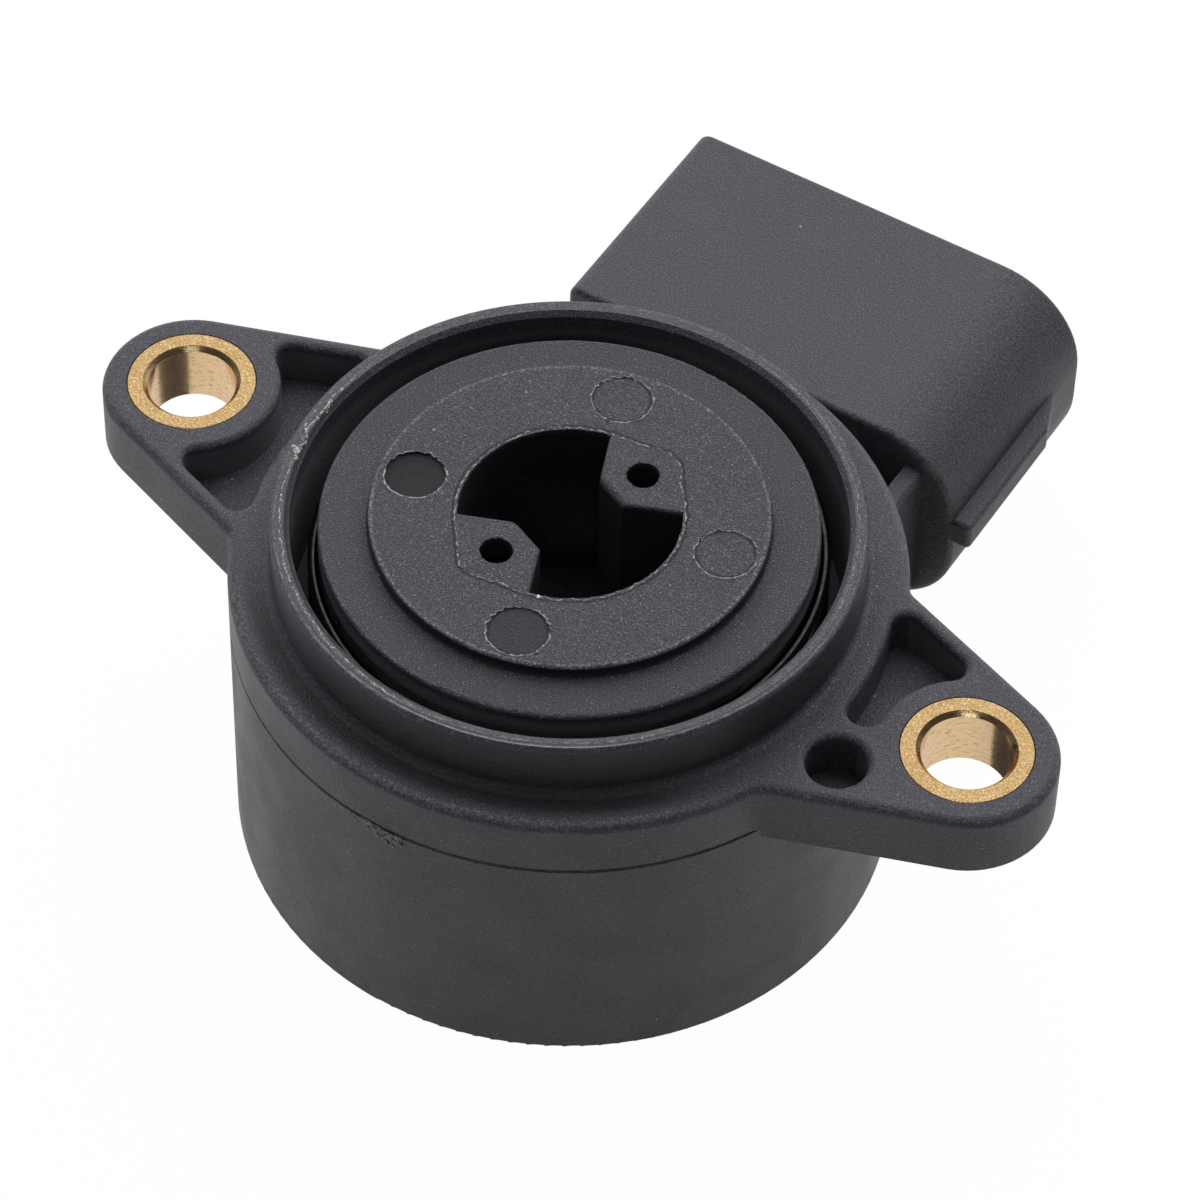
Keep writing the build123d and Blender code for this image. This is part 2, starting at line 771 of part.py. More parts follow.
# Terminals and solder
def make_terminal(x):
    """A blade that runs from the plug's socket into the can and turns up through the board."""
    half = terminal_width / 2
    blade = block((-half, half), (tab_distance, terminal_tip), (terminal_low, terminal_high))
    tip_edges = blade.faces().sort_by(Axis.Y)[-1].edges()
    blade = chamfer(tip_edges.filter_by(Axis.Z), terminal_tip_chamfer)
    tip_edges = blade.faces().sort_by(Axis.Y)[-1].edges()
    blade = chamfer(tip_edges.filter_by(Axis.X), terminal_thickness / 4)
    half_tab = tab_width / 2
    tab_back = tab_distance + terminal_thickness
    tab = block((-half_tab, half_tab), (tab_distance, tab_back), (terminal_low, tab_top))
    return Pos(x, 0, 0) * (blade + tab)


def make_solder():
    middle = tab_distance + terminal_thickness / 2
    half_tab = tab_width / 2
    joints = []
    for x in terminal_places:
        bottom = (Align.CENTER, Align.CENTER, Align.MIN)
        cone = Cone(solder_base_diameter / 2, solder_top_diameter / 2, solder_height, align=bottom)
        joint = Pos(x, middle, board_top) * cone
        joint -= block((x - half_tab, x + half_tab), (tab_distance, tab_distance + terminal_thickness),
                       (board_top - cut_margin, tab_top))
        joints.append(joint.solid())
    return Compound(children=joints)


def build_parts():
    parts = {
        "mounting_flange": make_flange(),
        "left_bush": make_bush(-bush_place),
        "right_bush": make_bush(bush_place),
        "sensor_can": make_can(),
        "rotor": make_rotor(),
        "return_spring": make_spring(),
        "wiper_carrier": make_carrier(),
        "thrust_washer": make_washer(),
        "track_board": make_board(),
        "solder_joints": make_solder(),
    }
    wiper_names = ("throttle_wiper", "idle_wiper")
    for name, (place, radii) in zip(wiper_names, wiper_layouts()):
        parts[name] = make_wiper(place, radii)
    parts.update(make_tracks())
    for number, x in enumerate(terminal_places, start=1):
        parts[f"terminal_{number}"] = make_terminal(x)
    return parts


os.makedirs("parts", exist_ok=True)
for part_name, part in build_parts().items():
    export_step(part, f"parts/{part_name}.step")
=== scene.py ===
import math

import bmesh
import bpy
from mathutils import Matrix, Vector, noise


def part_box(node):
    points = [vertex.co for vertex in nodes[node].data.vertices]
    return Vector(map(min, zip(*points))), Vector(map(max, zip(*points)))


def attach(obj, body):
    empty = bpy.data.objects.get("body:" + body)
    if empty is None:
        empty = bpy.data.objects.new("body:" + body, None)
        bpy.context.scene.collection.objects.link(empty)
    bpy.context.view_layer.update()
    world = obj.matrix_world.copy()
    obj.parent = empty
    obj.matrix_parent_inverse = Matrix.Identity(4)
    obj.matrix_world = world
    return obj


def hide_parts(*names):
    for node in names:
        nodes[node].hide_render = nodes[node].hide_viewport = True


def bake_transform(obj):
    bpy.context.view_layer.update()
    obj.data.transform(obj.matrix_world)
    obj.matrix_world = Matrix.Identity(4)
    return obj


# Looks of a rotary throttle position sensor, in metres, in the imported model's own frame.

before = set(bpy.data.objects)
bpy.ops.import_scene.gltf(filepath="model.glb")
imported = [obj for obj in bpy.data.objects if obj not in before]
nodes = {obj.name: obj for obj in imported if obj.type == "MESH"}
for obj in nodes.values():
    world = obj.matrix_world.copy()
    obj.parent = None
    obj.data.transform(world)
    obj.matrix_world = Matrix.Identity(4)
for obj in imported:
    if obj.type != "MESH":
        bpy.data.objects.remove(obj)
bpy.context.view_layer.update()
mm = 0.001

# Places on the part that the finishes and the small pieces follow
plateau_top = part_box("rotor")[1].z
plateau_radius = 11.45 * mm
ring_top = 23.65 * mm
ring_bottom = 22.2 * mm
ring_radius = 14.3 * mm
drum_radius = 13.25 * mm
socket_radius = 6.4 * mm
boss_angles = (66.5, 246.5)
boss_hole_radius = 1.02 * mm
boss_hole_distance = 5.06 * mm
mark_angles = (12.9, 102.8, 194.0, 283.4)
mark_distance = 9.25 * mm
mark_radius = 1.81 * mm
mark_smoothness = (0.0, 0.0, 1.0, 0.6)
collar_top = 24.1 * mm
collar_radius = 17.0 * mm
collar_bore_radius = 15.9 * mm
rim_middle = (collar_bore_radius + collar_radius) / 2
flange_top = 20.4 * mm
can_radius = 19.5 * mm
seam_height = 16.55 * mm
bush_place = 26.0 * mm
bush_bore_radius = 2.6 * mm
shroud_start = 22.0 * mm

# The flash round the socket, which runs out round each boss over some degrees to both sides
flash_radius = 6.5 * mm
flash_width = 0.17 * mm
flash_bulge = 0.82 * mm
flash_bulge_reach = 13.0

# Ways from the axis, in degrees, in which the collar is marked
scratched_way = 282
dark_line_way = 300
pale_line_way = 288
shaded_way = 305
left_flecks_way = 222
right_flecks_way = 40
torn_way = 188

# Noise seldom leaves this range
noise_spread = (0.3, 0.7)


# Node helpers
def fill(tree, node, values):
    """Sets or links a node's inputs, each given by its name or number."""
    for name, value in values.items():
        if isinstance(value, bpy.types.NodeSocket):
            tree.links.new(value, node.inputs[name])
        else:
            node.inputs[name].default_value = value
    return node


def add(tree, kind, values=None, **settings):
    """A new node with its settings made, and its inputs set or linked."""
    made = tree.nodes.new(kind)
    for name, value in settings.items():
        setattr(made, name, value)
    return fill(tree, made, values or {})


def compute(tree, operation, first, second=0.0):
    """The result of one sum on two values or sockets."""
    made = add(tree, "ShaderNodeMath", {0: first, 1: second}, operation=operation)
    return made.outputs[0]


def times(tree, *values):
    """All the values multiplied."""
    product = values[0]
    for value in values[1:]:
        product = compute(tree, "MULTIPLY", product, value)
    return product


def measure(tree, operation, first, second=(0, 0, 0)):
    """A number from one sum on two vectors."""
    made = add(tree, "ShaderNodeVectorMath", {0: first, 1: second}, operation=operation)
    return made.outputs["Value"]


def ramp(tree, value, low, high, out_low=0.0, out_high=1.0):
    """A value taken smoothly from one range to another."""
    made = add(tree, "ShaderNodeMapRange", {
        "Value": value,
        "From Min": low,
        "From Max": high,
        "To Min": out_low,
        "To Max": out_high,
    }, interpolation_type="SMOOTHSTEP")
    return made.outputs["Result"]


def band(tree, value, middle, width):
    """One at the middle of a band and nothing beyond its width."""
    away = compute(tree, "ABSOLUTE", compute(tree, "SUBTRACT", value, middle))
    return ramp(tree, away, width, 0.0)


def cloud(tree, place, scale, detail=2.0, roughness=0.5):
    """Noise that varies from place to place."""
    made = add(tree, "ShaderNodeTexNoise", {
        "Vector": place,
        "Scale": scale,
        "Detail": detail,
        "Roughness": roughness,
    })
    return made.outputs["Fac"]


def stripes(tree, value, scale, detail):
    """Noise that varies with one value, such as a radius, and so makes lines."""
    made = add(tree, "ShaderNodeTexNoise", {
        "W": value,
        "Scale": scale,
        "Detail": detail,
    }, noise_dimensions="1D")
    return made.outputs["Fac"]


def sway(tree, place, scale, detail, reach):
    """An uneven length, as far as a reach to both sides of nothing."""
    uneven = cloud(tree, place, scale, detail, 0.65)
    return ramp(tree, uneven, *noise_spread, -reach, reach)


def blend(tree, amount, base, over):
    """Colour over another by an amount."""
    made = add(tree, "ShaderNodeMix", data_type="RGBA")
    factor = 0
    colours = [place for place, socket in enumerate(made.inputs) if socket.type == "RGBA"]
    fill(tree, made, {factor: amount, colours[0]: base, colours[1]: over})
    return next(socket for socket in made.outputs if socket.type == "RGBA")


def bump_normal(tree, height, strength, depth):
    """A normal that follows a height."""
    made = add(tree, "ShaderNodeBump", {"Height": height, "Strength": strength, "Distance": depth})
    return made.outputs["Normal"]


def new_group(name, inputs, outputs):
    """An empty shader group with a place to work from, number inputs and named outputs."""
    group = bpy.data.node_groups.new(name, "ShaderNodeTree")
    group.interface.new_socket("Vector", in_out="INPUT", socket_type="NodeSocketVector")
    for label, default in inputs.items():
        made = group.interface.new_socket(label, in_out="INPUT", socket_type="NodeSocketFloat")
        made.default_value = default
    for label in outputs:
        group.interface.new_socket(label, in_out="OUTPUT", socket_type="NodeSocketFloat")
    return group, group.nodes.new("NodeGroupInput").outputs, group.nodes.new("NodeGroupOutput")


def use_group(tree, group, values):
    """The outputs of a group with its inputs set or linked."""
    return add(tree, "ShaderNodeGroup", values, node_tree=group).outputs


def start_material(name):
    """A new material, its tree, its shader and the place on the piece."""
    material = bpy.data.materials.new(name)
    material.use_nodes = True
    tree = material.node_tree
    shader = tree.nodes["Principled BSDF"]
    place = add(tree, "ShaderNodeTexCoord").outputs["Object"]
    return material, tree, shader, place


# Effects that several finishes share
def make_moulded_grain():
    """The pitted skin that a spark-eroded mould leaves: height, shade, bright grains and dull patches."""
    outputs = ("Height", "Shade", "Speckle", "Mottle")
    group, given, result = new_group("moulded grain", {"Grain": 8500.0}, outputs)
    place = given["Vector"]
    fine = cloud(group, place, given["Grain"], 1.5, 0.6)
    coarse = cloud(group, place, times(group, given["Grain"], 0.45))
    patches = cloud(group, place, 260.0, 3.0)
    pits = ramp(group, fine, *noise_spread)
    waves = ramp(group, coarse, *noise_spread)
    bright = ramp(group, fine, 0.58, 0.7)
    tops = ramp(group, coarse, 0.45, 0.65)
    fill(group, result, {
        "Height": compute(group, "ADD", pits, times(group, waves, 0.8)),
        "Shade": pits,
        "Speckle": times(group, bright, tops),
        "Mottle": ramp(group, patches, *noise_spread),
    })
    return group


def make_scuff_and_highlight_patches():
    """Breaks the mask of an edge into patches, where handling has rubbed the skin lighter and where
    highlights are painted.
    """
    group, given, result = new_group("scuff and highlight patches", {"Edge": 0.0, "Break Scale": 1300.0}, ("Mask",))
    broken = cloud(group, given["Vector"], given["Break Scale"], 5.0, 0.75)
    worn = ramp(group, broken, 0.46, 0.62)
    fill(group, result, {"Mask": times(group, given["Edge"], worn)})
    return group


def make_loose_dust():
    """Scattered pale specks."""
    group, given, result = new_group("loose dust", {"Spacing": 700.0, "Share": 0.3}, ("Mask",))
    cells = add(group, "ShaderNodeTexVoronoi", {
        "Vector": given["Vector"],
        "Scale": given["Spacing"],
        "Randomness": 1.0,
    })
    dot = ramp(group, cells.outputs["Distance"], 0.075, 0.03)
    pick = add(group, "ShaderNodeSeparateColor", {"Color": cells.outputs["Color"]})
    chosen = compute(group, "LESS_THAN", pick.outputs["Red"], given["Share"])
    fill(group, result, {"Mask": times(group, dot, pick.outputs["Green"], chosen)})
    return group


moulded_grain = make_moulded_grain()
scuff_and_highlight_patches = make_scuff_and_highlight_patches()
loose_dust = make_loose_dust()

# Colours of the moulded plastics, of what lies on them, and of painted light and shade
charcoal = (0.0335, 0.033, 0.0415, 1.0)
charcoal_light = (0.099, 0.0975, 0.119, 1.0)
grain_grey = (0.44, 0.44, 0.46, 1.0)
# Also painted as a highlight along the ledge's rim and as light on the rounded edges
scuff_and_highlight_grey = (0.22, 0.22, 0.225, 1.0)
# Painted light: a paler grey that lifts the shade on walls in hollows and round the rotor's ring
painted_fill_grey = (0.17, 0.168, 0.18, 1.0)
grime = (0.125, 0.12, 0.105, 1.0)
dust_white = (0.5, 0.5, 0.48, 1.0)
fleck_white = (0.62, 0.62, 0.6, 1.0)
# Also painted as light on the drum's wall under the ring
flash_and_fill_grey = (0.42, 0.42, 0.41, 1.0)
flash_pale = (0.48, 0.48, 0.47, 1.0)
burr_grey = (0.26, 0.265, 0.225, 1.0)
# Also painted as shade and shadows on the collar, the rotor's step, and round the marks and the flash
black_and_painted_shade = (0.012, 0.012, 0.0135, 1.0)
smooth_floor = (0.014, 0.014, 0.018, 1.0)
# Partly painted shade in the socket
socket_black_and_shade = (0.025, 0.025, 0.028, 1.0)
crumb_grey = (0.75, 0.75, 0.73, 1.0)
crumb_white = (0.9, 0.9, 0.88, 1.0)


# Places for the wear and for the painted light and shade to follow
def around_axis(tree, place):
    """Distance from the rotor's axis, height, and the place along the connector's way."""
    parts = add(tree, "ShaderNodeSeparateXYZ", {"Vector": place}).outputs
    flat = add(tree, "ShaderNodeCombineXYZ", {"X": parts["X"], "Y": parts["Y"]})
    return measure(tree, "LENGTH", flat.outputs[0]), parts["Z"], parts["Y"]


def flat_way(degrees):
    """The level way from the axis at an angle."""
    return (math.cos(math.radians(degrees)), math.sin(math.radians(degrees)), 0)


def near_way(tree, place, radius, degrees, reach):
    """One close to an angle round the axis, and nothing beyond its reach on both sides."""
    along_way = measure(tree, "DOT_PRODUCT", place, flat_way(degrees))
    cosine = compute(tree, "DIVIDE", along_way, radius)
    full_reach = reach * 0.7
    return ramp(tree, cosine, math.cos(math.radians(reach)), math.cos(math.radians(full_reach)))


def facing_axis(tree, place):
    """One on walls that face the rotor's axis."""
    facing = add(tree, "ShaderNodeTexCoord").outputs["Normal"]
    flat = add(tree, "ShaderNodeVectorMath", {0: place, 1: (1, 1, 0)}, operation="MULTIPLY")
    outward = measure(tree, "DOT_PRODUCT", flat.outputs["Vector"], facing)
    return ramp(tree, outward, -0.5 * mm, -3.0 * mm)


def past_collar(tree, radius):
    """One outside the collar."""
    return ramp(tree, radius, collar_radius + 0.2 * mm, collar_radius + 0.5 * mm)


def on_rim(tree, height):
    """One on the collar's rim."""
    return ramp(tree, height, collar_top - 0.32 * mm, collar_top - 0.2 * mm)


def on_top(tree, height, level):
    """One at and above a level of the rotor."""
    return ramp(tree, height, level - 0.2 * mm, level - 0.1 * mm)


def rub_and_highlight(tree, place, colour, over, edge, scale, amount):
    """Another colour in patches of an edge, which are smaller at a larger scale."""
    patches = use_group(tree, scuff_and_highlight_patches, {"Vector": place, "Edge": edge, "Break Scale": scale})
    return blend(tree, times(tree, patches["Mask"], amount), colour, over)


# Wear of the flange, and painted light and shade on it
def paint_hollow_light(tree, place, colour):
    """Painted light: a paler grey on the walls of the ears' pockets and deep in the collar, which lifts
    their shade.
    """
    radius, height, _ = around_axis(tree, place)
    sunk = ramp(tree, height, flange_top - 0.35 * mm, flange_top - 0.8 * mm, 0.0, 0.75)
    # Painted light on the pockets' walls
    pockets = times(tree, facing_axis(tree, place), past_collar(tree, radius), sunk)
    colour = blend(tree, pockets, colour, painted_fill_grey)
    # Painted light on the collar's bore deep down
    in_collar = compute(tree, "LESS_THAN", radius, collar_bore_radius + 0.05 * mm)
    deep = ramp(tree, height, collar_top - 0.9 * mm, collar_top - 1.9 * mm, 0.0, 0.75)
    return blend(tree, times(tree, in_collar, deep), colour, painted_fill_grey)


def top_edge_wear_and_light(tree, place, colour):
    """A painted shadow at the collar's foot and a painted highlight along the ledge's rim, both on the
    near side, and rubbed patches on the rounded edges of the ledge and the ears, which also paint light
    into their shade.
    """
    radius, height, along = around_axis(tree, place)
    near_side = ramp(tree, along, -9.0 * mm, -14.0 * mm)
    near_ledge = times(tree, band(tree, height, flange_top, 0.3 * mm), near_side)
    # Painted shadow of the collar on the ledge at its foot, on the near side
    collar_foot_shadow = ramp(tree, radius, collar_radius + 1.75 * mm, collar_radius + 1.1 * mm, 0.0, 0.75)
    colour = blend(tree, times(tree, near_ledge, collar_foot_shadow), colour, black_and_painted_shade)
    # Painted highlight along the ledge's rim on the near side
    ledge_rim_highlight = times(tree, band(tree, radius, can_radius - 0.35 * mm, 0.5 * mm), near_ledge)
    colour = rub_and_highlight(tree, place, colour, scuff_and_highlight_grey, ledge_rim_highlight, scale=6000.0, amount=0.9)
    # Rubbed patches on the rounded edges, which also paint light into the shade there
    edge_height = band(tree, height, flange_top - 0.17 * mm, 0.15 * mm)
    round_edge_wear_and_light = times(tree, edge_height, past_collar(tree, radius))
    return rub_and_highlight(tree, place, colour, scuff_and_highlight_grey, round_edge_wear_and_light, scale=2600.0, amount=0.4)


def wear_rim_lines(tree, place, colour):
    """Lines along the collar's rim, and the shade on its outer wall."""
    radius, height, _ = around_axis(tree, place)
    rim = on_rim(tree, height)
    inner_line = times(tree, band(tree, radius, collar_bore_radius + 0.34 * mm, 0.08 * mm), 0.35)
    outer_line = band(tree, radius, collar_radius - 0.26 * mm, 0.07 * mm)
    lines = times(tree, compute(tree, "MAXIMUM", inner_line, outer_line), rim)
    colour = rub_and_highlight(tree, place, colour, scuff_and_highlight_grey, lines, scale=1300.0, amount=1.0)
    whole_rim = times(tree, band(tree, radius, rim_middle, 0.62 * mm), rim)
    colour = rub_and_highlight(tree, place, colour, flash_and_fill_grey, whole_rim, scale=6500.0, amount=0.2)
    turned = ramp(tree, stripes(tree, radius, 12000.0, 1.0), 0.54, 0.6)
    scratched = times(tree, turned, near_way(tree, place, radius, scratched_way, 80), rim)
    colour = rub_and_highlight(tree, place, colour, flash_and_fill_grey, scratched, scale=1200.0, amount=0.55)
    dark_line = times(tree, band(tree, radius, rim_middle + 0.14 * mm, 0.07 * mm), rim)
    dark_part = times(tree, dark_line, near_way(tree, place, radius, dark_line_way, 75), 0.6)
    colour = blend(tree, dark_part, colour, black_and_painted_shade)
    pale_line = times(tree, band(tree, radius, collar_radius - 0.24 * mm, 0.07 * mm), rim)
    pale_part = times(tree, pale_line, near_way(tree, place, radius, pale_line_way, 26), 0.5)
    colour = blend(tree, pale_part, colour, flash_and_fill_grey)
    below_rim = ramp(tree, height, collar_top - 0.2 * mm, collar_top - 0.45 * mm)
    above_foot = ramp(tree, height, flange_top + 0.2 * mm, flange_top + 0.6 * mm)
    outer_wall = times(tree, band(tree, radius, collar_radius, 0.15 * mm), below_rim, above_foot)
    shaded = times(tree, outer_wall, near_way(tree, place, radius, shaded_way, 75), 0.5)
    return blend(tree, shaded, colour, black_and_painted_shade)


def rim_flecks_and_shade(tree, place, colour):
    """Pale flecks on both sides of the collar's rim, a torn spot on its left, and painted shade on the
    rim's inner edge on the left.
    """
    radius, height, _ = around_axis(tree, place)
    rim = on_rim(tree, height)
    left_side = near_way(tree, place, radius, left_flecks_way, 60)
    right_side = times(tree, near_way(tree, place, radius, right_flecks_way, 45), 0.4)
    flecked = compute(tree, "MAXIMUM", left_side, right_side)
    # Painted shade on the rim's rounded inner edge, on the left
    inner_edge_shade = band(tree, radius, collar_bore_radius + 0.18 * mm, 0.28 * mm)
    colour = blend(tree, times(tree, inner_edge_shade, rim, left_side, 0.6), colour, black_and_painted_shade)
    little_sway = compute(tree, "ADD", radius, sway(tree, place, 800.0, 4.0, 0.1 * mm))
    dotted_line = band(tree, little_sway, collar_bore_radius + 0.5 * mm, 0.06 * mm)
    dots = times(tree, dotted_line, rim, flecked)
    colour = rub_and_highlight(tree, place, colour, fleck_white, dots, scale=4500.0, amount=1.5)
    large_sway = compute(tree, "ADD", radius, sway(tree, place, 800.0, 4.0, 0.4 * mm))
    torn_line = band(tree, large_sway, collar_bore_radius + 0.55 * mm, 0.1 * mm)
    torn = times(tree, torn_line, rim, near_way(tree, place, radius, torn_way, 11))
    return rub_and_highlight(tree, place, colour, fleck_white, torn, scale=2600.0, amount=1.5)


# Wear of the can
def wear_can(tree, place, colour):
    """A speckled round wall, a dusty band at the connector's near edge and a rubbed edge at the seam."""
    radius, height, along = around_axis(tree, place)
    at_wall = ramp(tree, radius, can_radius - 0.2 * mm, can_radius - 0.1 * mm)
    round_wall = times(tree, at_wall, ramp(tree, along, 12.0 * mm, 4.0 * mm))
    colour = rub_and_highlight(tree, place, colour, scuff_and_highlight_grey, round_wall, scale=7000.0, amount=0.22)
    near_edge = band(tree, along, shroud_start + 0.15 * mm, 0.4 * mm)
    dusty_band = times(tree, near_edge, ramp(tree, height, 6.0 * mm, 12.0 * mm))
    colour = rub_and_highlight(tree, place, colour, grime, dusty_band, scale=900.0, amount=1.0)
    beside_seam = band(tree, height, seam_height - 0.1 * mm, 0.12 * mm)
    outside = compute(tree, "GREATER_THAN", radius, can_radius - 0.3 * mm)
    seam = times(tree, beside_seam, outside)
    return rub_and_highlight(tree, place, colour, scuff_and_highlight_grey, seam, scale=1300.0, amount=0.4)


# Wear of the rotor, and painted light and shade on it
def step_wear_and_light(tree, place, colour):
    """Sparkling edges of the plateau and the ring, painted shade on the step between them, and painted
    light on the ring's and the drum's walls below, which lifts the shade in the gap.
    """
    radius, height, _ = around_axis(tree, place)
    edge_line = band(tree, radius, plateau_radius - 0.16 * mm, 0.2 * mm)
    plateau_edge = times(tree, edge_line, on_top(tree, height, plateau_top))
    colour = rub_and_highlight(tree, place, colour, flash_and_fill_grey, plateau_edge, scale=5500.0, amount=0.62)
    # Painted shade on the step's wall between the plateau and the ring
    past_edge = ramp(tree, radius, plateau_radius - 0.12 * mm, plateau_radius - 0.04 * mm)
    below_plateau = ramp(tree, height, plateau_top - 0.1 * mm, plateau_top - 0.2 * mm)
    above_ring = ramp(tree, height, ring_top + 0.02 * mm, ring_top + 0.12 * mm, 0.0, 0.85)
    colour = blend(tree, times(tree, past_edge, below_plateau, above_ring), colour, black_and_painted_shade)
    # Painted light on the ring's wall, which lifts the shade in the gap
    at_ring_wall = ramp(tree, radius, ring_radius - 0.06 * mm, ring_radius - 0.02 * mm)
    below_ring_edge = ramp(tree, height, ring_top - 0.3 * mm, ring_top - 0.9 * mm, 0.0, 0.7)
    colour = blend(tree, times(tree, at_ring_wall, below_ring_edge), colour, painted_fill_grey)
    # Painted light on the drum's wall under the ring, which lifts the shade in the gap
    at_drum = ramp(tree, radius, drum_radius - 0.1 * mm, drum_radius - 0.05 * mm)
    below_ring = ramp(tree, height, ring_bottom, ring_bottom - 0.05 * mm)
    colour = blend(tree, times(tree, at_drum, below_ring), colour, flash_and_fill_grey)
    near_ring_wall = ramp(tree, radius, ring_radius - 0.2 * mm, ring_radius - 0.1 * mm)
    under_edge = band(tree, height, ring_top - 0.28 * mm, 0.24 * mm)
    colour = blend(tree, times(tree, near_ring_wall, under_edge, 0.4), colour, black_and_painted_shade)
    ring_line = band(tree, radius, ring_radius - 0.18 * mm, 0.1 * mm)
    ring_edge = times(tree, ring_line, on_top(tree, height, ring_top))
    return rub_and_highlight(tree, place, colour, scuff_and_highlight_grey, ring_edge, scale=1800.0, amount=0.5)


def marks_and_shadows(tree, place, colour):
    """The ejector marks, each with a floor of its own smoothness and a dark outline, which is a painted
    shadow round its rim.
    """
    _, height, _ = around_axis(tree, place)
    on_plateau = on_top(tree, height, plateau_top)
    uneven = sway(tree, place, 2200.0, 3.0, 0.06 * mm)
    for angle, smoothness in zip(mark_angles, mark_smoothness):
        centre = Matrix.Rotation(math.radians(angle), 3, "Z") @ Vector((mark_distance, 0, plateau_top))
        away = compute(tree, "ADD", measure(tree, "DISTANCE", place, centre), uneven)
        floor = ramp(tree, away, mark_radius - 0.02 * mm, mark_radius - 0.14 * mm, 0.0, smoothness)
        colour = blend(tree, floor, colour, smooth_floor)
        # Painted shadow round each mark's rim
        outline = band(tree, away, mark_radius - 0.13 * mm, 0.12 * mm)
        colour = blend(tree, times(tree, outline, on_plateau), colour, black_and_painted_shade)
    return colour


def socket_and_shadow(tree, place, colour):
    """A dark line outside the flash round the socket, which is a painted shadow, and the socket's smooth
    dark walls, partly painted shade, which fade deeper down back to the skin as painted light.
    """
    radius, height, _ = around_axis(tree, place)
    along_bosses = measure(tree, "DOT_PRODUCT", place, flat_way(boss_angles[0]))
    cosine = compute(tree, "DIVIDE", compute(tree, "ABSOLUTE", along_bosses), radius)
    narrowness = 2 / math.radians(flash_bulge_reach) ** 2
    turned_away = times(tree, compute(tree, "SUBTRACT", cosine, 1.0), narrowness)
    bulge = times(tree, compute(tree, "EXPONENT", turned_away), flash_bulge)
    uneven = sway(tree, place, 2200.0, 3.0, 0.06 * mm)
    past_bulge = compute(tree, "ADD", compute(tree, "SUBTRACT", radius, bulge), uneven)
    # Painted shadow of the flash, in a dark line outside it
    flash_line_shadow = band(tree, past_bulge, flash_radius + 0.16 * mm, 0.14 * mm)
    on_plateau = on_top(tree, height, plateau_top)
    colour = blend(tree, times(tree, flash_line_shadow, on_plateau), colour, black_and_painted_shade)
    # The socket's dark walls, partly painted shade, fade deeper down back to the skin, which paints light
    # into its shade
    inside = compute(tree, "LESS_THAN", radius, socket_radius + 0.05 * mm)
    below = ramp(tree, height, plateau_top - 0.05 * mm, plateau_top - 0.5 * mm)
    upper = ramp(tree, height, plateau_top - 9.0 * mm, plateau_top - 3.0 * mm, 0.1, 1.0)
    return blend(tree, times(tree, inside, below, upper), colour, socket_black_and_shade)


# Finishes
def moulded_plastic(name, grain, contrast, speckle, bump, wear_and_painted_light):
    """Charcoal moulded plastic with a pitted skin, its own kinds of wear and of painted light and shade,
    and a little dust.
    """
    material, tree, shader, place = start_material(name)
    skin = use_group(tree, moulded_grain, {"Vector": place, "Grain": grain})
    shade = ramp(tree, skin["Shade"], 0.0, 1.0, 0.5 - contrast / 2, 0.5 + contrast / 2)
    colour = blend(tree, shade, charcoal, charcoal_light)
    colour = blend(tree, times(tree, skin["Speckle"], speckle), colour, grain_grey)
    for add_marking in wear_and_painted_light:
        colour = add_marking(tree, place, colour)
    dust = use_group(tree, loose_dust, {"Vector": place})
    fill(tree, shader, {
        "Base Color": blend(tree, dust["Mask"], colour, dust_white),
        "Roughness": ramp(tree, skin["Mottle"], 0.0, 1.0, 0.38, 0.46),
        "Normal": bump_normal(tree, skin["Height"], bump, 0.05 * mm),
        "Specular IOR Level": 0.4,
    })
    return material


brass_light = (0.7, 0.47, 0.215, 1.0)
brass_dark = (0.62, 0.405, 0.175, 1.0)
brass_spot = (0.42, 0.22, 0.08, 1.0)
brass_glint = (1.0, 0.8, 0.47, 1.0)
brass_bore = (0.93, 0.67, 0.4, 1.0)
brass_tool_mark = (0.34, 0.18, 0.08, 1.0)


